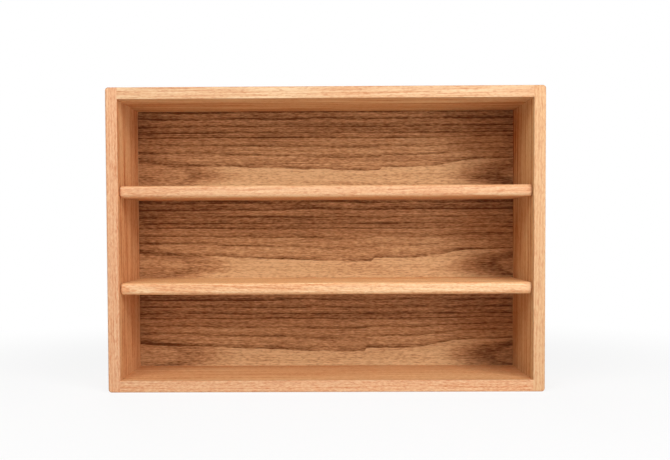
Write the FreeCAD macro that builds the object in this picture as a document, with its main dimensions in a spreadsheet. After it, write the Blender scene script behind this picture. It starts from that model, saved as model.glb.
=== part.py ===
import FreeCAD, Part
import math
import os
import re
import Sketcher

# Solid oak cabinet for a wall or a shelf: three open bays between two sides, a top, a bottom and
# two fixed shelves, with a back panel let into grooves. Blind dowels join the boards, brads pin
# the panel to the shelves, and a keyhole plate is let into the rear edge of each side.
# Millimetres, +X right, +Y away from the viewer, +Z up, origin at the middle of the base.

# Driving dimensions
SIZES = {
    # Carcass
    "cab_width": 685.0,
    "bay_height": 134.5,
    "bay_depth": 165.0,
    "board_thick": 18.5,
    "corner_round": 5.0,
    "front_round": 2.4,
    "rear_ease": 1.0,
    "side_inner_ease": 1.5,
    "lip_ease": 0.7,
    # Shelves
    "shelf_recess": 9.0,
    "shelf_top_round": 6.0,
    "shelf_under_round": 6.5,
    "shelf_end_round": 3.5,
    # Back panel and the groove that holds it
    "panel_thick": 6.0,
    "panel_setback": 7.0,
    "groove_depth": 4.5,
    "groove_play": 0.15,
    "panel_gap": 0.5,
    # Dowels
    "dowel_radius": 4.0,
    "dowel_length": 36.0,
    "dowel_in_side": 11.0,
    "dowel_fit": 0.05,
    "dowel_chamfer": 0.9,
    "dowel_front_margin": 40.0,
    "dowel_rear_margin": 25.0,
    "flute_radius": 0.45,
    # Brads that pin the panel to the shelves
    "brad_radius": 0.6,
    "brad_length": 25.0,
    "brad_head_radius": 1.3,
    "brad_head_thick": 0.7,
    "brad_point": 1.6,
    "brad_sink": 0.4,
    "brad_fit": 0.05,
    "brad_margin": 99.0,
    # Keyhole plates and the hollows behind them
    "plate_width": 13.0,
    "plate_length": 44.0,
    "plate_thick": 1.5,
    "plate_fit": 0.15,
    "plate_drop": 70.0,
    "entry_radius": 4.4,
    "entry_drop": 4.5,
    "neck_radius": 2.3,
    "neck_rise": 9.0,
    "hollow_radius": 4.7,
    "hollow_depth": 4.0,
    # Screws of the keyhole plates
    "screw_radius": 1.4,
    "screw_core_radius": 1.0,
    "screw_length": 16.0,
    "screw_neck": 4.5,
    "screw_head_radius": 2.6,
    "screw_rim": 0.2,
    "screw_point": 3.0,
    "screw_fit": 0.1,
    "screw_spacing": 34.0,
    "thread_spacing": 1.3,
    "thread_land": 0.1,
    "cross_width": 0.7,
    "cross_reach": 1.5,
    "cross_depth": 0.9,
    # Left at the bottom of every blind hole
    "end_gap": 0.75,
    # How far a through cut runs past the faces that it opens
    "overrun": 2.0,
}
DOWELS_PER_JOINT = 3
FLUTES = 12
BRADS_PER_SHELF = 4
SCREWS_PER_PLATE = 2
THREAD_RINGS = 6
BAYS = 3

# Sizes that follow from the driving ones
HEIGHT = f"({BAYS} * bay_height + {BAYS + 1} * board_thick)"
DEPTH = "(bay_depth + panel_thick + panel_setback)"
INNER_WIDTH = "(cab_width - 2 * board_thick)"
STOREY = "(bay_height + board_thick)"
SHELF_DEPTH = "(bay_depth - shelf_recess)"
PANEL_TONGUE = "(groove_depth - panel_gap)"
GROOVE_FRONT = "(bay_depth - groove_play)"
GROOVE_REAR = "(bay_depth + panel_thick + groove_play)"
DOWEL_PITCH = f"((bay_depth - dowel_front_margin - dowel_rear_margin) / {DOWELS_PER_JOINT - 1})"
DOWEL_IN_BOARD = "(dowel_length - dowel_in_side)"
DOWEL_HOLE = "(dowel_radius + dowel_fit)"
BRAD_PITCH = f"(({INNER_WIDTH} - 2 * brad_margin) / {BRADS_PER_SHELF - 1})"
BRAD_HOLE = "(brad_radius + brad_fit)"
FIRST_BRAD = f"(brad_margin - {INNER_WIDTH} / 2)"
PLATE_HEIGHT = f"({HEIGHT} - plate_drop)"
PLATE_HALF_RUN = "((plate_length - plate_width) / 2)"
PLATE_ACROSS = "((cab_width - board_thick) / 2)"
SCREW_HOLE = "(screw_radius + screw_fit)"
COUNTERSINK_ANGLE = 90

# A sketch numbers the points of a shape in this order
START, END, CENTRE = range(1, 4)
# A piece of the right side lies towards +X and its twin of the left side towards -X
HANDS = (("left", -1), ("right", 1))
TOLERANCE = 1e-4
V = FreeCAD.Vector

doc = FreeCAD.newDocument("cabinet")
sheet = doc.addObject("Spreadsheet::Sheet", "sizes")
for row, (alias, size) in enumerate(SIZES.items(), start=1):
    sheet.set(f"A{row}", alias)
    sheet.set(f"B{row}", str(size))
    sheet.setAlias(f"B{row}", alias)
doc.recompute()


def formula(text):
    """The text with each size in it named as a cell of the sheet."""
    return re.sub("[a-z_]+", lambda word: f"sizes.{word[0]}" if word[0] in SIZES else word[0], text)


def number(text):
    """What the text comes to with the sheet's present sizes."""
    return float(sheet.evalExpression(formula(text)))


def bind(item, **texts):
    for name, text in texts.items():
        item.setExpression(name, formula(text))


# Bodies and sketches


def new_body(label, x="0", y="0", z="0"):
    body = doc.addObject("PartDesign::Body", label)
    body.Label = label
    body.AllowCompound = True
    for axis, text in zip("xyz", (x, y, z)):
        body.setExpression(f"Placement.Base.{axis}", formula(text))
    return body


def origin_part(body, role):
    return next(item for item in body.Origin.OriginFeatures if item.Role == role)


def new_sketch(body, name, plane, height="0"):
    """An empty sketch on one of the body's own planes, or at a height above that plane."""
    sketch = body.newObject("Sketcher::SketchObject", f"{body.Label}_{name}")
    sketch.AttachmentSupport = [(origin_part(body, plane), "")]
    sketch.MapMode = "FlatFace"
    sketch.setExpression("AttachmentOffset.Base.z", formula(height))
    return sketch


def constrain(sketch, kind, *where, text):
    place = sketch.addConstraint(Sketcher.Constraint(kind, *where, number(text)))
    sketch.setExpression(f"Constraints[{place}]", formula(text))


def pin(sketch, shape, point, x, y):
    constrain(sketch, "DistanceX", -1, START, shape, point, text=x)
    constrain(sketch, "DistanceY", -1, START, shape, point, text=y)


def add_line(sketch, start, end):
    ends = [V(number(x), number(y), 0) for x, y in (start, end)]
    return sketch.addGeometry(Part.LineSegment(*ends), False)


def add_arc(sketch, centre, radius, from_angle, to_angle):
    middle = V(number(centre[0]), number(centre[1]), 0)
    ring = Part.Circle(middle, V(0, 0, 1), number(radius))
    return sketch.addGeometry(Part.ArcOfCircle(ring, from_angle, to_angle), False)


def outline(sketch, corners):
    """A closed run of straight lines through the corners."""
    lines = [add_line(sketch, *ends) for ends in zip(corners, corners[1:] + corners[:1])]
    for line, following, corner in zip(lines, lines[1:] + lines[:1], corners):
        sketch.addConstraint(Sketcher.Constraint("Coincident", line, END, following, START))
        pin(sketch, line, START, *corner)
    return sketch


def rectangle(sketch, left, right, low, high):
    return outline(sketch, [(left, low), (right, low), (right, high), (left, high)])


def circle(sketch, x, y, radius):
    middle = V(number(x), number(y), 0)
    ring = sketch.addGeometry(Part.Circle(middle, V(0, 0, 1), number(radius)), False)
    pin(sketch, ring, CENTRE, x, y)
    constrain(sketch, "Radius", ring, text=radius)
    return sketch


def slot(sketch, x, low, high, radius):
    """An upright slot with round ends, centred on two points one above the other."""
    foot = add_arc(sketch, (x, low), radius, math.pi, 2 * math.pi)
    right = add_line(sketch, (f"{x} + {radius}", low), (f"{x} + {radius}", high))
    head = add_arc(sketch, (x, high), radius, 0, math.pi)
    left = add_line(sketch, (f"{x} - {radius}", high), (f"{x} - {radius}", low))
    for shape, following in ((foot, right), (right, head), (head, left), (left, foot)):
        sketch.addConstraint(Sketcher.Constraint("Tangent", shape, END, following, START))
    pin(sketch, foot, CENTRE, x, low)
    pin(sketch, head, CENTRE, x, high)
    constrain(sketch, "Radius", foot, text=radius)
    sketch.addConstraint(Sketcher.Constraint("Equal", foot, head))
    return sketch


def corner_waste(sketch, x, y, across, up, radius):
    """What a rounding bit takes off a square corner whose wood lies towards across and up."""
    reach_x, reach_y = f"{x} + {across} * {radius}", f"{y} + {up} * {radius}"
    middle = math.atan2(-up, -across)
    base = add_line(sketch, (x, y), (reach_x, y))
    arc = add_arc(sketch, (reach_x, reach_y), radius, middle - math.pi / 4, middle + math.pi / 4)
    wall = add_line(sketch, (x, reach_y), (x, y))
    at_base, at_wall = (END, START) if across * up > 0 else (START, END)
    sketch.addConstraint(Sketcher.Constraint("Coincident", base, END, arc, at_base))
    sketch.addConstraint(Sketcher.Constraint("Coincident", arc, at_wall, wall, START))
    sketch.addConstraint(Sketcher.Constraint("Coincident", wall, END, base, START))
    pin(sketch, base, START, x, y)
    pin(sketch, base, END, reach_x, y)
    pin(sketch, wall, START, x, reach_y)
    constrain(sketch, "Radius", arc, text=radius)
    return sketch


# Features


def finish(body, feature):
    body.Tip = feature
    doc.recompute()
    return feature


def extrude(body, kind, name, sketch, length, along_normal=True, both_ways=False):
    feature = body.newObject(f"PartDesign::{kind}", f"{body.Label}_{name}")
    feature.Profile = sketch
    bind(feature, Length=length)
    feature.Reversed = along_normal == (kind == "Pocket")
    feature.SideType = "Symmetric" if both_ways else "One side"
    return finish(body, feature)


def drill(body, name, sketch, x, y, radius, depth, along_normal=False):
    """A flat-bottomed hole at one place of an empty sketch."""
    circle(sketch, x, y, radius)
    feature = body.newObject("PartDesign::Hole", f"{body.Label}_{name}")
    feature.Profile = sketch
    feature.DepthType = "Dimension"
    feature.DrillPoint = "Flat"
    bind(feature, Diameter=f"2 * {radius}", Depth=depth)
    feature.Reversed = along_normal
    return finish(body, feature)


def widen_mouth(body, hole, kind, **sizes):
    hole.HoleCutType = kind
    bind(hole, **sizes)
    return finish(body, hole)


def turn(body, name, sketch, axis):
    feature = body.newObject("PartDesign::Revolution", f"{body.Label}_{name}")
    feature.Profile = sketch
    feature.ReferenceAxis = (origin_part(body, axis), [""])
    return finish(body, feature)


def repeat(body, name, features, axis, step, count, second=None, whole=False):
    """Copies in a row along one of the body's axes, or in rows with a second (axis, step, count)."""
    pattern = body.newObject("PartDesign::LinearPattern", f"{body.Label}_{name}")
    pattern.Originals = features
    pattern.TransformMode = "Whole shape" if whole else "Features"
    pattern.Direction = (origin_part(body, axis), [""])
    pattern.Occurrences = count
    bind(pattern, Length=f"{step} * {count - 1}")
    if second:
        axis, step, count = second
        pattern.Direction2 = (origin_part(body, axis), [""])
        pattern.Occurrences2 = count
        bind(pattern, Length2=f"{step} * {count - 1}")
    return finish(body, pattern)


def repeat_round(body, name, features, axis, count):
    pattern = body.newObject("PartDesign::PolarPattern", f"{body.Label}_{name}")
    pattern.Originals = features
    pattern.Axis = (origin_part(body, axis), [""])
    pattern.Occurrences = count
    return finish(body, pattern)


def edges_at(shape, **places):
    """Names of the edges that lie wholly at the given places along X, Y or Z."""
    names = []
    for place, edge in enumerate(shape.Edges, start=1):
        box = edge.BoundBox
        reaches = [(axis + end, text) for axis, text in places.items() for end in ("Min", "Max")]
        if all(abs(getattr(box, reach) - number(text)) < TOLERANCE for reach, text in reaches):
            names.append(f"Edge{place}")
    return names


def round_over(body, name, radius, *edge_sets, but=None):
    """Round the edges that lie at any of the given places, but for those at one more place."""
    base = body.Tip
    spared = edges_at(base.Shape, **but) if but else []
    edges = [edge for places in edge_sets for edge in edges_at(base.Shape, **places)]
    feature = body.newObject("PartDesign::Fillet", f"{body.Label}_{name}")
    feature.Base = (base, [edge for edge in edges if edge not in spared])
    bind(feature, Radius=radius)
    return finish(body, feature)


# Boards of the carcass


def side_board(label, hand):
    """Drawn from the front lower corner of its inner face, with its thickness towards the hand."""
    outer = f"{hand} * board_thick"
    body = new_body(label, x=f"{hand} * {INNER_WIDTH} / 2", y=f"-{DEPTH} / 2")
    blank = rectangle(new_sketch(body, "blank", "XZ_Plane"), "0", outer, "0", HEIGHT)
    extrude(body, "Pad", "board", blank, DEPTH, along_normal=False)
    round_over(body, "corners", "corner_round", {"X": outer, "Z": "0"}, {"X": outer, "Z": HEIGHT})
    round_over(body, "front_edge", "front_round", {"Y": "0"}, but={"X": "0"})
    round_over(body, "rear_edge", "rear_ease", {"Y": DEPTH}, but={"X": "0"})

    # Only the stretches beside the bays are eased, so the joints with top and bottom stay closed
    ease = new_sketch(body, "inner_ease", "XY_Plane", height="board_thick")
    corner_waste(ease, "0", "0", hand, 1, "side_inner_ease")
    extrude(body, "Pocket", "inner_edge", ease, f"{HEIGHT} - 2 * board_thick")

    groove = rectangle(new_sketch(body, "groove", "YZ_Plane"), GROOVE_FRONT, GROOVE_REAR,
                       "board_thick - groove_depth", f"{HEIGHT} - board_thick + groove_depth")
    extrude(body, "Pocket", "panel_groove", groove, "groove_depth", along_normal=hand > 0)
    hole = drill(body, "dowel_hole", new_sketch(body, "dowel_spot", "YZ_Plane"), "dowel_front_margin",
                 "board_thick / 2", DOWEL_HOLE, "dowel_in_side + end_gap", along_normal=hand > 0)
    repeat(body, "dowel_holes", [hole], "Y_Axis", DOWEL_PITCH, DOWELS_PER_JOINT,
           second=("Z_Axis", STOREY, BAYS + 1))
    hanger_pockets(body, hand)
    return body


def hanger_pockets(body, hand):
    """The seat of the keyhole plate, the hollow for the hook's head and the pilot holes."""
    middle, entry = f"{hand} * board_thick / 2", f"{PLATE_HEIGHT} - entry_drop"
    seat = slot(new_sketch(body, "plate_seat", "XZ_Plane", f"-{DEPTH}"), middle,
                f"{PLATE_HEIGHT} - {PLATE_HALF_RUN}", f"{PLATE_HEIGHT} + {PLATE_HALF_RUN}",
                "(plate_width / 2 + plate_fit)")
    extrude(body, "Pocket", "seat", seat, "plate_thick")
    hollow = slot(new_sketch(body, "hook_hollow", "XZ_Plane", f"-{DEPTH}"), middle,
                  entry, f"{entry} + neck_rise", "hollow_radius")
    extrude(body, "Pocket", "hollow", hollow, "plate_thick + hollow_depth")
    pilot = drill(body, "pilot", new_sketch(body, "pilot_spot", "XZ_Plane", f"-{DEPTH} + plate_thick"),
                  middle, f"{PLATE_HEIGHT} - screw_spacing / 2", SCREW_HOLE,
                  "screw_length - plate_thick + end_gap", along_normal=True)
    repeat(body, "pilots", [pilot], "Z_Axis", "screw_spacing", SCREWS_PER_PLATE)


def cross_board(label, front, depth, base, rise):
    """A board between the sides, drawn from the middle of its front edge on the face it is based on."""
    body = new_body(label, y=front, z=base)
    section = rectangle(new_sketch(body, "section", "YZ_Plane"), "0", depth, "0", f"{rise} * board_thick")
    extrude(body, "Pad", "board", section, INNER_WIDTH, both_ways=True)
    return body


def end_holes(body, first, rise):
    """Blind dowel holes in both ends of a cross board."""
    holes = []
    for name, hand in HANDS:
        spot = new_sketch(body, f"{name}_spot", "YZ_Plane", f"{hand} * {INNER_WIDTH} / 2")
        holes.append(drill(body, f"{name}_hole", spot, first, f"{rise} * board_thick / 2", DOWEL_HOLE,
                           f"{DOWEL_IN_BOARD} + end_gap", along_normal=hand < 0))
    repeat(body, "end_holes", holes, "Y_Axis", DOWEL_PITCH, DOWELS_PER_JOINT)


def cover_board(label, inner_face, rise):
    """The top or the bottom: flush with the front, grooved for the panel on its inner face."""
    body = cross_board(label, f"-{DEPTH} / 2", DEPTH, inner_face, rise)
    outer = f"{rise} * board_thick"
    round_over(body, "front_edge", "front_round", {"Y": "0", "Z": outer})
    round_over(body, "lip", "lip_ease", {"Y": "0", "Z": "0"})
    round_over(body, "rear_edge", "rear_ease", {"Y": DEPTH, "Z": outer})
    groove = rectangle(new_sketch(body, "groove", "YZ_Plane"), GROOVE_FRONT, GROOVE_REAR,
                       "0", f"{rise} * groove_depth")
    extrude(body, "Pocket", "panel_groove", groove, f"{INNER_WIDTH} + overrun", both_ways=True)
    end_holes(body, "dowel_front_margin", rise)
    return body


def shelf(label, underside):
    """Set back from the front and rounded along its front edge.

    Its ends are rounded too, all round but at the rear, so a groove is left beside each side board.
    """
    body = cross_board(label, f"-{DEPTH} / 2 + shelf_recess", SHELF_DEPTH, underside, rise=1)
    round_over(body, "upper_edge", "shelf_top_round", {"Y": "0", "Z": "board_thick"})
    round_over(body, "under_edge", "shelf_under_round", {"Y": "0", "Z": "0"})
    ends = [{"X": f"{hand} * {INNER_WIDTH} / 2"} for _, hand in HANDS]
    round_over(body, "ends", "shelf_end_round", *ends, but={"Y": SHELF_DEPTH})
    end_holes(body, "dowel_front_margin - shelf_recess", rise=1)
    hole = drill(body, "brad_hole", new_sketch(body, "brad_spot", "XZ_Plane", f"-{SHELF_DEPTH}"),
                 FIRST_BRAD, "board_thick / 2", BRAD_HOLE, "brad_length + brad_sink - panel_thick + end_gap",
                 along_normal=True)
    repeat(body, "brad_holes", [hole], "X_Axis", BRAD_PITCH, BRADS_PER_SHELF)
    return body


def panel(label):
    """Drawn from the middle of its lower edge on its front face."""
    body = new_body(label, y=f"-{DEPTH} / 2 + bay_depth", z=f"board_thick - {PANEL_TONGUE}")
    half_width = f"({INNER_WIDTH} / 2 + {PANEL_TONGUE})"
    blank = rectangle(new_sketch(body, "blank", "XZ_Plane"), f"-{half_width}", half_width,
                      "0", f"{HEIGHT} - 2 * board_thick + 2 * {PANEL_TONGUE}")
    extrude(body, "Pad", "sheet", blank, "panel_thick", along_normal=False)
    hole = drill(body, "brad_hole", new_sketch(body, "brad_spot", "XZ_Plane", "-panel_thick"), FIRST_BRAD,
                 f"{PANEL_TONGUE} + bay_height + board_thick / 2", BRAD_HOLE, "panel_thick + overrun",
                 along_normal=True)
    widen_mouth(body, hole, "Counterbore", HoleCutDiameter="2 * (brad_head_radius + brad_fit)",
                HoleCutDepth="brad_head_thick + brad_sink")
    repeat(body, "brad_holes", [hole], "X_Axis", BRAD_PITCH, BRADS_PER_SHELF,
           second=("Z_Axis", STOREY, BAYS - 1))
    return body


# Fasteners and fittings


def dowels(label, hand, height):
    """The dowels of one joint, the first one drawn about the middle of its own length."""
    body = new_body(label, x=f"{hand} * ({INNER_WIDTH} / 2 + dowel_in_side - dowel_length / 2)",
                    y=f"-{DEPTH} / 2 + dowel_front_margin", z=height)
    half, rim = "dowel_length / 2", "dowel_radius - dowel_chamfer"
    profile = outline(new_sketch(body, "profile", "XY_Plane"), [
        (f"-{half}", "0"), (half, "0"), (half, rim), (f"{half} - dowel_chamfer", "dowel_radius"),
        (f"dowel_chamfer - {half}", "dowel_radius"), (f"-{half}", rim)])
    turn(body, "peg", profile, "X_Axis")
    groove = circle(new_sketch(body, "flute", "YZ_Plane"), "dowel_radius", "0", "flute_radius")
    flute = extrude(body, "Pocket", "flute_cut", groove, "dowel_length + overrun", both_ways=True)
    repeat_round(body, "flutes", [flute], "X_Axis", FLUTES)
    repeat(body, "pegs", [], "Y_Axis", DOWEL_PITCH, DOWELS_PER_JOINT, whole=True)
    return body


def brads(label, height):
    """The brads of one shelf, the first one drawn from the middle of its head."""
    body = new_body(label, x=FIRST_BRAD, y=f"-{DEPTH} / 2 + bay_depth + panel_thick - brad_sink", z=height)
    profile = outline(new_sketch(body, "profile", "XY_Plane"), [
        ("0", "0"), ("brad_head_radius", "0"), ("brad_head_radius", "-brad_head_thick"),
        ("brad_radius", "-brad_head_thick"), ("brad_radius", "brad_point - brad_length"),
        ("0", "-brad_length")])
    turn(body, "brad", profile, "Y_Axis")
    repeat(body, "brads", [], "X_Axis", BRAD_PITCH, BRADS_PER_SHELF, whole=True)
    return body


def keyhole_plate(label, hand):
    """Flush with the rear edge of its side, drawn from the middle of its rear face."""
    body = new_body(label, x=f"{hand} * {PLATE_ACROSS}", y=f"{DEPTH} / 2", z=PLATE_HEIGHT)
    through = "2 * (plate_thick + overrun)"
    blank = slot(new_sketch(body, "blank", "XZ_Plane"), "0", f"-{PLATE_HALF_RUN}", PLATE_HALF_RUN,
                 "plate_width / 2")
    extrude(body, "Pad", "plate", blank, "plate_thick")
    neck = slot(new_sketch(body, "neck", "XZ_Plane"), "0", "-entry_drop", "neck_rise - entry_drop",
                "neck_radius")
    extrude(body, "Pocket", "neck_cut", neck, through, both_ways=True)
    entry = circle(new_sketch(body, "entry", "XZ_Plane"), "0", "-entry_drop", "entry_radius")
    extrude(body, "Pocket", "entry_cut", entry, through, both_ways=True)
    hole = drill(body, "screw_hole", new_sketch(body, "screw_spot", "XZ_Plane"), "0", "-screw_spacing / 2",
                 SCREW_HOLE, "plate_thick + overrun", along_normal=True)
    hole.HoleCutCountersinkAngle = COUNTERSINK_ANGLE
    widen_mouth(body, hole, "Countersink",
                HoleCutDiameter="2 * (screw_head_radius + screw_rim + screw_fit)")
    repeat(body, "screw_holes", [hole], "Z_Axis", "screw_spacing", SCREWS_PER_PLATE)
    return body


def plate_screws(label, hand):
    """The screws of one plate, the lower one drawn from the middle of its head."""
    body = new_body(label, x=f"{hand} * {PLATE_ACROSS}", y=f"{DEPTH} / 2",
                    z=f"{PLATE_HEIGHT} - screw_spacing / 2")
    profile = outline(new_sketch(body, "profile", "XY_Plane"), [
        ("0", "0"), ("screw_head_radius", "0"), ("screw_head_radius", "-screw_rim"),
        ("screw_radius", "-(screw_rim + screw_head_radius - screw_radius)"),
        ("screw_radius", "-screw_neck"), ("screw_core_radius", "-screw_neck"),
        ("screw_core_radius", "screw_point - screw_length"), ("0", "-screw_length")])
    turn(body, "shank", profile, "Y_Axis")

    # The deepest ring of the thread, and the others towards the head
    lowest = f"-(screw_neck + {THREAD_RINGS} * thread_spacing)"
    half_foot, root = "thread_spacing / 3", "screw_core_radius / 2"
    ring = outline(new_sketch(body, "thread_ring", "XY_Plane"), [
        (root, f"{lowest} + {half_foot}"), (root, f"{lowest} - {half_foot}"),
        ("screw_core_radius", f"{lowest} - {half_foot}"), ("screw_radius", f"{lowest} - thread_land"),
        ("screw_radius", f"{lowest} + thread_land"), ("screw_core_radius", f"{lowest} + {half_foot}")])
    thread = turn(body, "thread", ring, "Y_Axis")
    repeat(body, "threads", [thread], "Y_Axis", "thread_spacing", THREAD_RINGS)

    half_width = "cross_width / 2"
    for name, wide, high in (("level", "cross_reach", half_width), ("upright", half_width, "cross_reach")):
        arm = rectangle(new_sketch(body, f"{name}_arm", "XZ_Plane"), f"-{wide}", wide, f"-{high}", high)
        extrude(body, "Pocket", f"{name}_slot", arm, "cross_depth")
    repeat(body, "screws", [], "Z_Axis", "screw_spacing", SCREWS_PER_PLATE, whole=True)
    return body


# The cabinet, with the number of separate solids that each piece should come to

pieces = []
for side_name, hand in HANDS:
    pieces.append((side_board(f"{side_name}_side", hand), 1))
    pieces.append((keyhole_plate(f"{side_name}_keyhole_plate", hand), 1))
    pieces.append((plate_screws(f"{side_name}_plate_screws", hand), SCREWS_PER_PLATE))
pieces.append((cover_board("bottom_board", "board_thick", rise=-1), 1))
pieces.append((cover_board("top_board", f"{HEIGHT} - board_thick", rise=1), 1))
pieces.append((panel("back_panel"), 1))

shelf_levels = {"lower_shelf": 1, "upper_shelf": BAYS - 1}
for name, level in shelf_levels.items():
    pieces.append((shelf(name, f"{level} * {STOREY}"), 1))
    pieces.append((brads(f"{name}_brads", f"{level} * {STOREY} + board_thick / 2"), BRADS_PER_SHELF))

joint_levels = {"bottom": 0, **shelf_levels, "top": BAYS}
for name, level in joint_levels.items():
    for side_name, hand in HANDS:
        pegs = dowels(f"{name}_{side_name}_dowels", hand, f"{level} * {STOREY} + board_thick / 2")
        pieces.append((pegs, DOWELS_PER_JOINT))

doc.recompute()


# Every feature has to have worked, and every cut has to have taken something away

for item in doc.Objects:
    if {"Invalid", "Error"} & set(item.State):
        raise RuntimeError(f"{item.Label} failed: {item.State}")
    if item.TypeId in ("PartDesign::Pocket", "PartDesign::Hole"):
        if not item.Shape.Volume < item.BaseFeature.Shape.Volume - TOLERANCE:
            raise RuntimeError(f"{item.Label} cuts nothing")
for body, solids in pieces:
    shape = body.Shape
    if shape.isNull() or not shape.isValid() or len(shape.Solids) != solids:
        raise RuntimeError(f"{body.Label} is not {solids} sound solids")

os.makedirs("parts", exist_ok=True)
for body, solids in pieces:
    body.Shape.exportStep(f"parts/{body.Label}.step")
    box = body.Shape.BoundBox
    print(f"{body.Label}: {solids} solid(s), {body.Shape.Volume:.0f} mm3, "
          f"X {box.XMin:.2f} to {box.XMax:.2f}, Y {box.YMin:.2f} to {box.YMax:.2f}, "
          f"Z {box.ZMin:.2f} to {box.ZMax:.2f}")
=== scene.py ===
import math

import bmesh
import bpy
from mathutils import Matrix, Vector


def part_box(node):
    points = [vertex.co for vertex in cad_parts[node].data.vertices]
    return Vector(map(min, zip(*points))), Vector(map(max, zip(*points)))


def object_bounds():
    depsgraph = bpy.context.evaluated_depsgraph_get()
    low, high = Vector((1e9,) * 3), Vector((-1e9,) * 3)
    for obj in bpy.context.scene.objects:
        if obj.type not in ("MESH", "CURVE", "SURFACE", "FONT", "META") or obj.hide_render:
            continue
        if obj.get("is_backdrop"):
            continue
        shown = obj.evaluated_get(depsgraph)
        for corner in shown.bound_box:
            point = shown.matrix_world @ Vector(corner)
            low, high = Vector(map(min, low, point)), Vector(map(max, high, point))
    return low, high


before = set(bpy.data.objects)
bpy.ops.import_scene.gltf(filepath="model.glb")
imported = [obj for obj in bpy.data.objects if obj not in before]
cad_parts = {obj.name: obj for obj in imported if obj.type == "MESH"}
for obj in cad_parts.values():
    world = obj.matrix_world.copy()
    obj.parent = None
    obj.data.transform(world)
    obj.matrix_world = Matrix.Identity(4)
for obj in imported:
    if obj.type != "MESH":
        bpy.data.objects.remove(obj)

# Oak cabinet with three open bays: the CAD boards, panel and fittings in their finishes.
# Metres, +X right, +Y away from the viewer, +Z up, origin at the middle of the base.

MM = 0.001
cad_low, cad_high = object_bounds()


def linear(code):
    """A hex colour as written for a screen, as the linear colour that a shader takes."""
    parts = [int(code[place:place + 2], 16) / 255 for place in (0, 2, 4)]
    return [part / 12.92 if part <= 0.04045 else ((part + 0.055) / 1.055) ** 2.4 for part in parts] + [1.0]


def add(tree, kind, sockets=None, **settings):
    """A new shader node with its settings, and each named socket given a value or a link.

    A link comes from the socket that is given, or from the first output of a node.
    """
    made = tree.nodes.new(f"ShaderNode{kind}")
    for name, value in settings.items():
        setattr(made, name, value)
    for name, value in (sockets or {}).items():
        if isinstance(value, bpy.types.Node):
            value = value.outputs[0]
        if isinstance(value, bpy.types.NodeSocket):
            tree.links.new(value, made.inputs[name])
        else:
            made.inputs[name].default_value = value
    return made


def new_material(name):
    """An empty material, its node tree, and its output's socket for a surface."""
    material = bpy.data.materials.new(name)
    material.use_nodes = True
    material.node_tree.nodes.clear()
    output = add(material.node_tree, "OutputMaterial")
    return material, material.node_tree, output.inputs["Surface"]


def dress(material, *names):
    """Gives CAD nodes a material in place of the plain one that they come with."""
    for name in names:
        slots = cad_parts[name].data.materials
        slots.clear()
        slots.append(material)


# Camera

# Found by fitting the corners of the cabinet: focal length and image centre in pixels of the photograph
PHOTO_WIDTH, PHOTO_HEIGHT = 670, 460
FOCAL_PIXELS = 943
CENTRE_X_PIXEL, CENTRE_Y_PIXEL = 317.8, 264.5
SENSOR = 36.0
CAMERA_PLACE = Vector((2, -1560, 255)) * MM
YAW, PITCH, ROLL = (math.radians(angle) for angle in (-0.56, -2.12, -0.25))

camera_data = bpy.data.cameras.new("camera")
camera_data.sensor_width = SENSOR
camera_data.lens = FOCAL_PIXELS / PHOTO_WIDTH * SENSOR
camera_data.shift_x = (PHOTO_WIDTH / 2 - CENTRE_X_PIXEL) / PHOTO_WIDTH
camera_data.shift_y = (CENTRE_Y_PIXEL - PHOTO_HEIGHT / 2) / PHOTO_WIDTH
camera = bpy.data.objects.new("camera", camera_data)
bpy.context.scene.collection.objects.link(camera)
camera.matrix_world = (Matrix.Translation(CAMERA_PLACE) @ Matrix.Rotation(-YAW, 4, "Z")
                       @ Matrix.Rotation(math.pi / 2 + PITCH, 4, "X") @ Matrix.Rotation(ROLL, 4, "Z"))
bpy.context.scene.camera = camera


# Oak

# Sizes of each noise's patches in millimetres, along and across the fibres. Bundles of fibres and open
# vessels are drawn wider than real ones, which are too fine to show.
THREADS = (150, 1.8, 1.8)
FLECK_THICK = 1.5
VESSELS = (9, 1.9, 1.9)
RING_WAVES = (330, 60, 60)
RING_FRINGES = (18, 2.4, 2.4)
STRIPES = (400, 9, 90)
STREAKS = (190, 10, 50)

# Rings in millimetres: how wide they are, how far they wander and how far single fibres fray them
RING_WIDTH = 4.2
RING_WANDER = 24.0
RING_FRAY = 3.0

# Shares of early wood: the least in a ring, that of sawn ends, and the one that shows as a half tone
LEAST_EARLY = 0.2
SAWN_EARLY = 0.6
HALF_TONE = 0.4

# Open vessels: how much early wood crowds them, how dark they show, and how deep they are in millimetres
VESSEL_CROWDING = 0.12
VESSEL_TONE = 0.3
VESSEL_DEPTH = 0.12

# A board's faces are more golden than its front edge, and the tone turns within so many millimetres
GOLDEN_TINT = (1.08, 1.04, 0.87, 1)
EDGE_TO_FACE = 5.0
# The stripes' noise counts from a little over its mean, which keeps the faces light
STRIPE_MIDDLE = 0.515
# How many millimetres deep the darker tone of a sawn end reaches
SAWN_DEPTH = 1.5


def grain_noise(tree, place, sizes, detail=1.0, output="Fac"):
    """Noise around 0.5, in patches of these sizes along and across the fibres."""
    scales = [1 / (size * MM) for size in sizes]
    stretched = add(tree, "VectorMath", {0: place, 1: scales}, operation="MULTIPLY")
    return add(tree, "TexNoise", {"Vector": stretched, "Scale": 1.0, "Detail": detail}).outputs[output]


def plus_share_of(tree, start, amount, value, middle=0.5):
    """start + amount * (value - middle)"""
    centred = add(tree, "Math", {0: value, 1: middle}, operation="SUBTRACT")
    return add(tree, "Math", {0: centred, 1: amount, 2: start}, operation="MULTIPLY_ADD")


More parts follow.
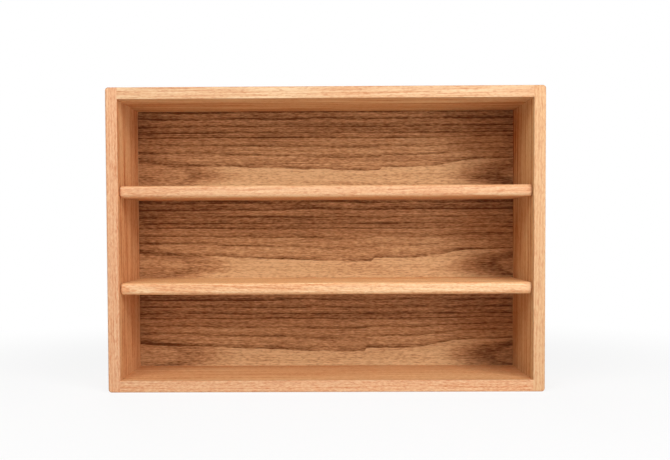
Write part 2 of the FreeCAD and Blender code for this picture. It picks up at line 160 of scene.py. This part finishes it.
def oak_surface(tree, surface, fibres, early, wood, threads, flecks, fleck_length, face=0.0, warmth=0.05):
    """The finish that boards and panel share, from how much porous early wood lies at each point.

    Oak under clear satin varnish gives the eye bands of darker early wood, short dark vessels that
    crowd in them, fine bundles of fibres, and a soft sheen that the open vessels break up.

    fibres is the point's place with X along the grain, and wood the colours of late wood, early wood
    and open vessels. threads and flecks are how strongly long and short bundles of fibres show, the
    short ones being fleck_length millimetres long. face is 1 where the golden tone of a board's faces
    shows. warmth is how much warmer half tones are than a plain mix of late and early wood would be.
    """
    light, dark, vessel = (linear(code) for code in wood)
    threaded = plus_share_of(tree, early, threads, grain_noise(tree, fibres, THREADS))
    fleck_sizes = (fleck_length, FLECK_THICK, FLECK_THICK)
    flecked = plus_share_of(tree, threaded, flecks, grain_noise(tree, fibres, fleck_sizes))
    share = add(tree, "Math", {0: flecked, 1: 0.0}, operation="ADD", use_clamp=True)
    tones = add(tree, "ValToRGB", {0: share})
    stops = tones.color_ramp.elements
    stops[0].color, stops[-1].color = light, dark
    # Half tones gain some red, and lose some green and more blue
    tints = (1 + warmth, 1 - warmth, 1 - 2.2 * warmth, 1)
    stops.new(HALF_TONE).color = [((1 - HALF_TONE) * pale + HALF_TONE * deep) * tint
                                  for pale, deep, tint in zip(light, dark, tints)]
    golden = add(tree, "Mix", {0: face, 6: tones, 7: GOLDEN_TINT}, data_type="RGBA", blend_type="MULTIPLY")

    # Vessels cut open by the saw: short dark grooves along the grain
    crowded = add(tree, "Math", {0: share, 1: VESSEL_CROWDING, 2: grain_noise(tree, fibres, VESSELS)},
                  operation="MULTIPLY_ADD")
    vessels = add(tree, "MapRange", {"Value": crowded, "From Min": 0.52, "From Max": 0.74},
                  interpolation_type="SMOOTHSTEP")
    vessel_share = add(tree, "Math", {0: vessels, 1: VESSEL_TONE}, operation="MULTIPLY")
    grained = add(tree, "Mix", {0: vessel_share, 6: golden.outputs[2], 7: vessel}, data_type="RGBA")

    roughness = add(tree, "MapRange", {"Value": vessels, "To Min": 0.42, "To Max": 0.6})
    height = add(tree, "Math", {0: 1.0, 1: vessels}, operation="SUBTRACT")
    relief = add(tree, "Bump", {"Height": height, "Strength": 0.15, "Distance": VESSEL_DEPTH * MM})
    shader = add(tree, "BsdfPrincipled", {"Base Color": grained.outputs[2], "Roughness": roughness,
                                          "IOR": 1.5, "Specular IOR Level": 0.08, "Normal": relief})
    tree.links.new(shader.outputs[0], surface)


def ring_growth(tree, log, ring):
    """How much early wood lies at each point of a log whose heart is the X axis.

    ring is the width of a year's ring in millimetres.
    """
    # The rings wander, slowly along the grain and faster across it, and are frayed by single fibres
    waves = grain_noise(tree, log, RING_WAVES, 2.0, "Color")
    centred = add(tree, "VectorMath", {0: waves, 1: (0.5, 0.5, 0.5)}, operation="SUBTRACT")
    wander = add(tree, "VectorMath", {0: centred, 1: (0, RING_WANDER * MM, RING_WANDER * MM), 2: log},
                 operation="MULTIPLY_ADD")
    across = add(tree, "VectorMath", {0: wander, 1: (0, 1, 1)}, operation="MULTIPLY")
    radius = add(tree, "VectorMath", {0: across}, operation="LENGTH").outputs["Value"]
    frayed = plus_share_of(tree, radius, RING_FRAY * MM, grain_noise(tree, log, RING_FRINGES))

    # Porous early wood fades into dense late wood in each ring, strong in some years, weak in others
    rings = add(tree, "Math", {0: frayed, 1: ring * MM}, operation="DIVIDE")
    within = add(tree, "Math", {0: rings}, operation="FRACT")
    year = add(tree, "Math", {0: rings}, operation="FLOOR")
    vigour = add(tree, "TexWhiteNoise", {"W": year}, noise_dimensions="1D").outputs["Value"]
    early = add(tree, "MapRange", {"Value": within, "From Min": 0.0, "From Max": 0.7, "To Min": 1.0,
                                   "To Max": 0.0}, interpolation_type="SMOOTHSTEP")
    strength = add(tree, "MapRange", {"Value": vigour, "To Min": 0.04, "To Max": 0.28})
    return add(tree, "Math", {0: early, 1: strength, 2: LEAST_EARLY}, operation="MULTIPLY_ADD")


def marked_faces(tree, log, early, face, stripes, streaks):
    """Early wood with the stripes and streaks that a board's faces show and its front edge doesn't.

    Both lie in layers across the board's depth. Stripes are slow and wide. Streaks are thin and dark,
    and come and go along the grain.
    """
    boldness = add(tree, "Math", {0: face, 1: stripes}, operation="MULTIPLY")
    striped = plus_share_of(tree, early, boldness, grain_noise(tree, log, STRIPES, 2.0), STRIPE_MIDDLE)
    dense = add(tree, "MapRange", {"Value": grain_noise(tree, log, STREAKS, 2.0), "From Min": 0.54,
                                   "From Max": 0.66, "To Max": streaks}, interpolation_type="SMOOTHSTEP")
    return add(tree, "Math", {0: dense, 1: face, 2: striped}, operation="MULTIPLY_ADD")


def sawn_ends(tree, early, height, low, high):
    """Early wood with a board's two sawn ends, which take in more varnish and turn darker."""
    half = (high - low) / 2
    from_middle = add(tree, "Math", {0: height, 1: (low + high) / 2}, operation="SUBTRACT")
    reach = add(tree, "Math", {0: from_middle}, operation="ABSOLUTE")
    sawn = add(tree, "MapRange", {"Value": reach, "From Min": half - SAWN_DEPTH * MM, "From Max": half,
                                  "To Max": 0.8})
    return add(tree, "Mix", {0: sawn, 2: early, 3: SAWN_EARLY})


def solid_wood(name, turn, heart, wood, threads, flecks, ring=RING_WIDTH, marks=None, ends=None):
    """Sawn and sanded wood under clear satin varnish: its rings run through the whole piece.

    turn brings the piece's grain along X, and heart is the way from the log's heart to the piece in
    millimetres. marks are where a board's front edge lies, and how strong the stripes and streaks of
    its faces are. ends are the heights of its two sawn ends, where they show.
    """
    material, tree, surface = new_material(name)
    place = add(tree, "TexCoord").outputs["Object"]
    log = add(tree, "Mapping", {"Vector": place, "Rotation": turn,
                                "Location": [length * MM for length in heart]})
    early = ring_growth(tree, log, ring)
    parts = add(tree, "SeparateXYZ", {0: place})
    face = 0.0
    if marks:
        front, stripes, streaks = marks
        face = add(tree, "MapRange", {"Value": parts.outputs["Y"], "From Min": front,
                                      "From Max": front + EDGE_TO_FACE * MM})
        early = marked_faces(tree, log, early, face, stripes, streaks)
    if ends:
        early = sawn_ends(tree, early, parts.outputs["Z"], *ends)
    oak_surface(tree, surface, log, early, wood, threads, flecks, fleck_length=5, face=face)
    return material


LEVEL = (0, 0, 0)
UPRIGHT = (0, math.pi / 2, 0)

# Each board's turn of the grain and slope about Y and Z in degrees, the way from its log's heart, the
# colours of its late wood, early wood and vessels, and how strong its threads, flecks, stripes and
# streaks are
BOARDS = {
    "left_side": (UPRIGHT, (0.5, 0.4), (0, 110, 380), ("DDB38D", "A24A00", "A54E1C"),
                  (0.55, 0.65, 1.5, 0.4)),
    "right_side": (UPRIGHT, (-0.4, 0.5), (0, -90, -340), ("DABA91", "A04C00", "A64F1C"),
                   (0.1, 0.4, 1.4, 0.36)),
    "top_board": (LEVEL, (0.4, 0.5), (0, 100, -300), ("DCBD97", "A14F00", "A54E1C"),
                  (1.0, 0.4, 1.7, 0.32)),
    "bottom_board": (LEVEL, (0.4, -0.5), (0, 150, 260), ("DDB68F", "A24C00", "A64E1C"),
                     (0.5, 0.9, 0.9, 0.06)),
    "upper_shelf": (LEVEL, (1.6, 0.5), (0, 200, -250), ("DFB992", "A34D00", "A54E1C"),
                    (0.65, 0.6, 1.0, 0.14)),
    "lower_shelf": (LEVEL, (-2.0, 0.7), (0, -240, -180), ("E8C79D", "B25400", "A74F1C"),
                    (0.75, 0.6, 1.0, 0.14)),
}
for board, (turn, slope, heart, wood, (threads, flecks, stripes, streaks)) in BOARDS.items():
    low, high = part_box(board)
    about_y, about_z = (math.radians(angle) for angle in slope)
    sloping = (turn[0], turn[1] + about_y, turn[2] + about_z)
    # The sides' sawn ends show, and those of the other boards are hidden in the joints
    ends = (low[2], high[2]) if turn == UPRIGHT else None
    dress(solid_wood(f"{board}_red_oak_satin", sloping, heart, wood, threads, flecks,
                     marks=(low[1], stripes, streaks), ends=ends), board)


# Back panel

# Lengths in millimetres. The leaves of veneer come off one log and lie one above the other, each with
# the same lines. The noise moves on so far between two leaves, which makes their small marks differ.
LEAF_HEIGHT = 156.5
LEAF_BASE = 5.5
LEAF_APART = 9.0

# Lines lie lowest at the crown place, which drifts right from leaf to leaf, and rise by these slopes
# to both ends. Those low in the leaf do so fully, and those high up run straight.
CROWN_PLACE = 67.0
CROWN_DRIFT = 13.0
CROWN_ROUND = 4.0
RIGHT_RISE = 0.07
LEFT_RISE = 0.048
FULL_SAG_TO = 40.0
STRAIGHT_FROM = 104.0
# Two steps up on the way to the right: where they start and end beside the crown place, and their height
STEPS = ((-2, 6, 5.5), (90, 170, 12))

# Slow waves of the lines, by the sizes of their patches and how far they move a line
LINE_WAVES = (120, 60, 34)
LINE_WAVE_REACH = 8.0
# Fibres fray the lines: the sizes of the fringes, then two heights in the leaf and how far they fray there
LINE_FRINGES = (36, 5, 3.5)
FRAYED_LOW = (45, 7)
FRAYED_HIGH = (100, 2.8)

# Height of each ring's sharp lower edge over the leaf's base, and how dark its early wood is. An edge
# begins a little under this height and ends a little over it. The ramp that holds the rings covers
# their reach.
VENEER_RINGS = ((37, 0.66), (59.5, 0.62), (77, 0.6), (93, 0.75), (102, 0.7), (113.5, 0.62), (126.5, 0.74),
                (138, 0.66))
EDGE_UNDER = 0.8
EDGE_OVER = 0.6
RINGS_REACH = 160.0
# The lines fade and come back along their way
LINE_BREAKS = (55, 20, 5)
LINE_BREAK_STRENGTH = 1.2

# Tongues of an inner ring point inwards from both ends. Their tips lie at one height and so far from a
# middle, which drifts right too. Their edges are curved and frayed, and outside them dark wood fades.
TONGUE_MIDDLE = 21.5
TONGUE_DRIFT = 6.5
TONGUE_SPREAD = 267.0
TONGUE_HEIGHT = 31.0
TONGUE_CURVE = 7.0
TONGUE_FRINGES = (28, 10, 7)
TONGUE_FRAY = 12.0
TONGUE_FADE = 115.0
# Where a tongue crosses a line, this share of the weaker one deepens the stronger one
CROSSING_SHARE = 0.4

PANEL_STRIPES = (260, 16, 16)
PANEL_STRIPE_STRENGTH = 0.5


def leaf_lines(tree, leaf_place, place, along, height):
    """Each point's height over the leaf's base, as if the sagging, waved and frayed lines ran level."""
    to_right = add(tree, "Math", {0: along, 1: RIGHT_RISE}, operation="MULTIPLY")
    to_left = add(tree, "Math", {0: along, 1: -LEFT_RISE}, operation="MULTIPLY")
    rise = add(tree, "Math", {0: to_right, 1: to_left}, operation="MAXIMUM")
    rise_square = add(tree, "Math", {0: rise, 1: rise, 2: (CROWN_ROUND * MM) ** 2},
                      operation="MULTIPLY_ADD")
    bow = add(tree, "Math", {0: rise_square}, operation="SQRT")
    sag = add(tree, "Math", {0: bow, 1: CROWN_ROUND * MM}, operation="SUBTRACT")
    steps = [add(tree, "MapRange", {"Value": along, "From Min": start * MM, "From Max": end * MM,
                                    "To Max": reach * MM}, interpolation_type="SMOOTHSTEP")
             for start, end, reach in STEPS]
    both_steps = add(tree, "Math", {0: steps[0], 1: steps[1]}, operation="ADD")
    stepped = add(tree, "Math", {0: sag, 1: both_steps}, operation="ADD")
    sag_share = add(tree, "MapRange", {"Value": height, "From Min": FULL_SAG_TO * MM,
                                       "From Max": STRAIGHT_FROM * MM, "To Min": -1.0, "To Max": 0.0})
    levelled = add(tree, "Math", {0: stepped, 1: sag_share, 2: height}, operation="MULTIPLY_ADD")
    waved = plus_share_of(tree, levelled, LINE_WAVE_REACH * MM, grain_noise(tree, leaf_place, LINE_WAVES))
    fray = add(tree, "MapRange", {"Value": height, "From Min": FRAYED_LOW[0] * MM,
                                  "From Max": FRAYED_HIGH[0] * MM, "To Min": FRAYED_LOW[1] * MM,
                                  "To Max": FRAYED_HIGH[1] * MM})
    return plus_share_of(tree, waved, fray, grain_noise(tree, place, LINE_FRINGES, 3.0))


def leaf_rings(tree, leaf_place, lines):
    """How much early wood a leaf's rings have: each starts at a sharp lower edge and fades upwards."""
    # Red holds how near the ring's sharp edge is, and green how strong the ring's early wood is
    ring_place = add(tree, "Math", {0: lines, 1: RINGS_REACH * MM}, operation="DIVIDE")
    rings = add(tree, "ValToRGB", {0: ring_place})
    stops = rings.color_ramp.elements
    # At its base the leaf shows the faint end of one more ring
    strength_below = 0.12
    stops[0].color = (0.3, strength_below, 0, 1)
    stops[-1].color = (0, 0.6, 0, 1)
    for edge, strength in VENEER_RINGS:
        stops.new((edge - EDGE_UNDER) / RINGS_REACH).color = (0, strength_below, 0, 1)
        stops.new((edge + EDGE_OVER) / RINGS_REACH).color = (1, strength, 0, 1)
        strength_below = strength
    channels = add(tree, "SeparateColor", {0: rings})
    nearness = channels.outputs["Red"]
    core = add(tree, "MapRange", {"Value": nearness, "From Min": 0.6, "From Max": 0.95, "To Min": 0.39,
                                  "To Max": 0.78}, interpolation_type="SMOOTHSTEP")
    fade = add(tree, "Math", {0: nearness, 1: 0.15, 2: core}, operation="MULTIPLY_ADD")
    even = add(tree, "Math", {0: fade, 1: channels.outputs["Green"]}, operation="MULTIPLY")
    broken = plus_share_of(tree, 1.0, LINE_BREAK_STRENGTH, grain_noise(tree, leaf_place, LINE_BREAKS, 2.0))
    return add(tree, "Math", {0: even, 1: broken}, operation="MULTIPLY")


def leaf_tongues(tree, place, across, leaf, height):
    """How much early wood lies around the tongues: dark outside their edge, the right one stronger, partly
    as painted shadow of the right side.
    """
    drifted = add(tree, "Math", {0: leaf, 1: -TONGUE_DRIFT * MM, 2: across}, operation="MULTIPLY_ADD")
    sideways = add(tree, "Math", {0: drifted, 1: TONGUE_MIDDLE * MM}, operation="SUBTRACT")
    out = add(tree, "Math", {0: sideways}, operation="ABSOLUTE")
    past_tip = add(tree, "Math", {0: out, 1: TONGUE_SPREAD * MM}, operation="SUBTRACT")
    frayed = plus_share_of(tree, height, TONGUE_FRAY * MM, grain_noise(tree, place, TONGUE_FRINGES, 2.0))
    over_tip = add(tree, "Math", {0: frayed, 1: TONGUE_HEIGHT * MM}, operation="SUBTRACT")
    square = add(tree, "Math", {0: over_tip, 1: over_tip}, operation="MULTIPLY")
    opened = add(tree, "Math", {0: square, 1: TONGUE_CURVE * MM}, operation="DIVIDE")
    from_edge = add(tree, "Math", {0: opened, 1: past_tip}, operation="SUBTRACT")
    outside = add(tree, "MapRange", {"Value": from_edge, "From Max": TONGUE_FADE * MM, "To Min": 1.0,
                                     "To Max": 0.0}, interpolation_type="SMOOTHSTEP")
    # Inside the edge the wood turns half as dark within a few millimetres
    inside = add(tree, "MapRange", {"Value": from_edge, "From Min": -12 * MM, "From Max": 4 * MM,
                                    "To Min": 0.5, "To Max": 1.0})
    # The right tongue is stronger partly in its wood and partly as painted shadow cast by the right side
    tongue_strength_and_right_shadow = add(tree, "MapRange", {"Value": across, "From Min": -100 * MM, "From Max": 100 * MM,
                                           "To Min": 0.5, "To Max": 0.66})
    tone = add(tree, "Math", {0: outside, 1: inside}, operation="MULTIPLY")
    return add(tree, "Math", {0: tone, 1: tongue_strength_and_right_shadow}, operation="MULTIPLY")


def veneer():
    """Plain-sliced red oak veneer: level bands with sharp lower edges, repeated leaf by leaf."""
    material, tree, surface = new_material("back_panel_red_oak_veneer_satin")
    place = add(tree, "TexCoord").outputs["Object"]
    parts = add(tree, "SeparateXYZ", {0: place})
    across = parts.outputs["X"]
    over_base = add(tree, "Math", {0: parts.outputs["Z"], 1: LEAF_BASE * MM}, operation="SUBTRACT")
    count = add(tree, "Math", {0: over_base, 1: LEAF_HEIGHT * MM}, operation="DIVIDE")
    leaf = add(tree, "Math", {0: count}, operation="FLOOR")
    height = add(tree, "Math", {0: leaf, 1: -LEAF_HEIGHT * MM, 2: over_base}, operation="MULTIPLY_ADD")
    drifted = add(tree, "Math", {0: leaf, 1: -CROWN_DRIFT * MM, 2: across}, operation="MULTIPLY_ADD")
    along = add(tree, "Math", {0: drifted, 1: CROWN_PLACE * MM}, operation="SUBTRACT")
    depth = add(tree, "Math", {0: leaf, 1: LEAF_APART * MM}, operation="MULTIPLY")
    leaf_place = add(tree, "CombineXYZ", {"X": along, "Y": depth, "Z": height})

    rings = leaf_rings(tree, leaf_place, leaf_lines(tree, leaf_place, place, along, height))
    tongues = leaf_tongues(tree, place, across, leaf, height)
    stronger = add(tree, "Math", {0: rings, 1: tongues}, operation="MAXIMUM")
    weaker = add(tree, "Math", {0: rings, 1: tongues}, operation="MINIMUM")
    early = add(tree, "Math", {0: weaker, 1: CROSSING_SHARE, 2: stronger}, operation="MULTIPLY_ADD")

    # Each leaf is darker towards its upper end: painted shade under the shelf above each bay, over a small
    # even share. All are darker at the panel's left end
    base_and_shelf_shade = add(tree, "MapRange", {"Value": height, "From Min": 60 * MM, "From Max": 135 * MM,
                                    "To Min": 0.08, "To Max": 0.3}, interpolation_type="SMOOTHSTEP")
    # Darker left end: partly darker wood, partly painted shade beside the left side
    left_end_wood_and_shade = add(tree, "MapRange", {"Value": across, "From Min": -320 * MM, "From Max": -235 * MM,
                                         "To Min": 0.12, "To Max": 0.0})
    painted_shade_and_end_tone = add(tree, "Math", {0: base_and_shelf_shade, 1: left_end_wood_and_shade}, operation="ADD")
    early_with_painted_shade = add(tree, "Math", {0: early, 1: painted_shade_and_end_tone}, operation="ADD")
    striped = plus_share_of(tree, early_with_painted_shade, PANEL_STRIPE_STRENGTH,
                            grain_noise(tree, place, PANEL_STRIPES, 2.0))
    oak_surface(tree, surface, place, striped, ("E4BE8F", "653D20", "7A3810"), threads=0.7, flecks=1.05,
                fleck_length=8, warmth=0.085)
    return material


dress(veneer(), "back_panel")


# Hidden fittings

# Spots of about a millimetre, and how much roughness they add or take away
METAL_SPOT_SCALE = 900.0
METAL_SPOT_REACH = 0.08


def plain_metal(name, colour, rough):
    """Bare or plated steel: a grey mirror, blurred a little more in some spots than in others."""
    material, tree, surface = new_material(name)
    place = add(tree, "TexCoord").outputs["Object"]
    noise = add(tree, "TexNoise", {"Vector": place, "Scale": METAL_SPOT_SCALE, "Detail": 2.0})
    roughness = add(tree, "MapRange", {"Value": noise, "From Min": 0.3, "From Max": 0.7,
                                       "To Min": rough - METAL_SPOT_REACH,
                                       "To Max": rough + METAL_SPOT_REACH})
    shader = add(tree, "BsdfPrincipled", {"Base Color": linear(colour), "Metallic": 1.0,
                                          "Roughness": roughness})
    tree.links.new(shader.outputs[0], surface)
    return material


def named(*endings):
    """The names of the CAD nodes that end in one of these ways."""
    return [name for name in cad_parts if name.endswith(endings)]


# Zinc shows cool and pale, and bright steel slightly darker and warmer
dress(plain_metal("zinc_plated_sheet_steel", "C4C6C8", 0.32), *named("keyhole_plate"))
dress(plain_metal("bright_steel_wire", "BDBAB4", 0.3), *named("screws", "brads"))
# Beech is pale and even, with narrow and faint rings
dress(solid_wood("turned_beech", LEVEL, (0, 30, 60), ("E6C49C", "D3A878", "C39868"), 0.5, 0.5, ring=2.5),
      *named("dowels"))


# Floor, background and lamps

WHITE = linear("FFFFFF")
# The floor reaches so many metres each way, and lies so many millimetres under the cabinet
FLOOR_REACH = 30.0
FLOOR_GAP = 0.2
# Its shadow gives way to white between these distances from the middle of the cabinet's base, in metres
SHADOW_NEAR, SHADOW_FAR = 0.5, 1.2


def seen_by_eye(tree):
    """1 for a ray from the camera, straight or by way of a mirror or glass, otherwise 0."""
    path = add(tree, "LightPath")
    mirror = add(tree, "Math", {0: path.outputs["Is Glossy Ray"], 1: path.outputs["Is Transmission Ray"]},
                 operation="MAXIMUM")
    return add(tree, "Math", {0: path.outputs["Is Camera Ray"], 1: mirror}, operation="MAXIMUM")


def pale_stage():
    """Matt white that looks bright far and wide, with the cabinet's soft shadow near it."""
    material, tree, surface = new_material("white_floor")
    place = add(tree, "TexCoord").outputs["Object"]
    away = add(tree, "VectorMath", {0: place}, operation="LENGTH").outputs["Value"]
    glow_share = add(tree, "MapRange", {"Value": away, "From Min": SHADOW_NEAR, "From Max": SHADOW_FAR,
                                        "To Min": 0.85, "To Max": 1.0}, interpolation_type="SMOOTHSTEP")
    share = add(tree, "Math", {0: seen_by_eye(tree), 1: glow_share}, operation="MULTIPLY")
    matt = add(tree, "BsdfDiffuse", {"Color": linear("F0F0F0")})
    glow = add(tree, "Emission", {"Color": WHITE, "Strength": 1.0})
    mixed = add(tree, "MixShader", {0: share, 1: matt, 2: glow})
    tree.links.new(mixed.outputs[0], surface)
    return material


floor_shape = bmesh.new()
bmesh.ops.create_grid(floor_shape, x_segments=1, y_segments=1, size=FLOOR_REACH,
                      matrix=Matrix.Translation((0, 0, cad_low.z - FLOOR_GAP * MM)))
floor_mesh = bpy.data.meshes.new("floor")
floor_shape.to_mesh(floor_mesh)
floor_shape.free()
floor_mesh.materials.append(pale_stage())
floor = bpy.data.objects.new("floor", floor_mesh)
bpy.context.scene.collection.objects.link(floor)
floor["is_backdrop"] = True

world = bpy.data.worlds.new("pale_room")
bpy.context.scene.world = world
world.use_nodes = True
room = world.node_tree
room.nodes.clear()
background = add(room, "Background", {"Color": WHITE, "Strength": seen_by_eye(room)})
add(room, "OutputWorld", {"Surface": background})

# Lamps with wide soft faces, aimed at the cabinet's middle: place, width and height in metres, and watts
LAMPS = {
    "high_right": ((1.0, -1.8, 1.6), 1.2, 1.2, 33),
    "high_left": ((-1.0, -1.8, 1.6), 1.2, 1.2, 25),
    "right_strip": ((1.3, -1.6, 0.5), 0.6, 1.6, 15.2),
    "overhead": ((-0.4, -1.1, 2.1), 1.4, 1.0, 8.2),
    "rear_fill": ((-0.6, 2.4, 1.4), 1.6, 1.2, 25),
}
cabinet_middle = (cad_low + cad_high) / 2
for name, (place, width, height, watts) in LAMPS.items():
    data = bpy.data.lights.new(name, "AREA")
    data.shape = "RECTANGLE"
    data.size, data.size_y = width, height
    data.energy = watts
    lamp = bpy.data.objects.new(name, data)
    lamp.location = place
    lamp.rotation_euler = (cabinet_middle - Vector(place)).to_track_quat("-Z", "Y").to_euler()
    bpy.context.scene.collection.objects.link(lamp)

bpy.context.scene.view_settings.view_transform = "Standard"

low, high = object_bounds()
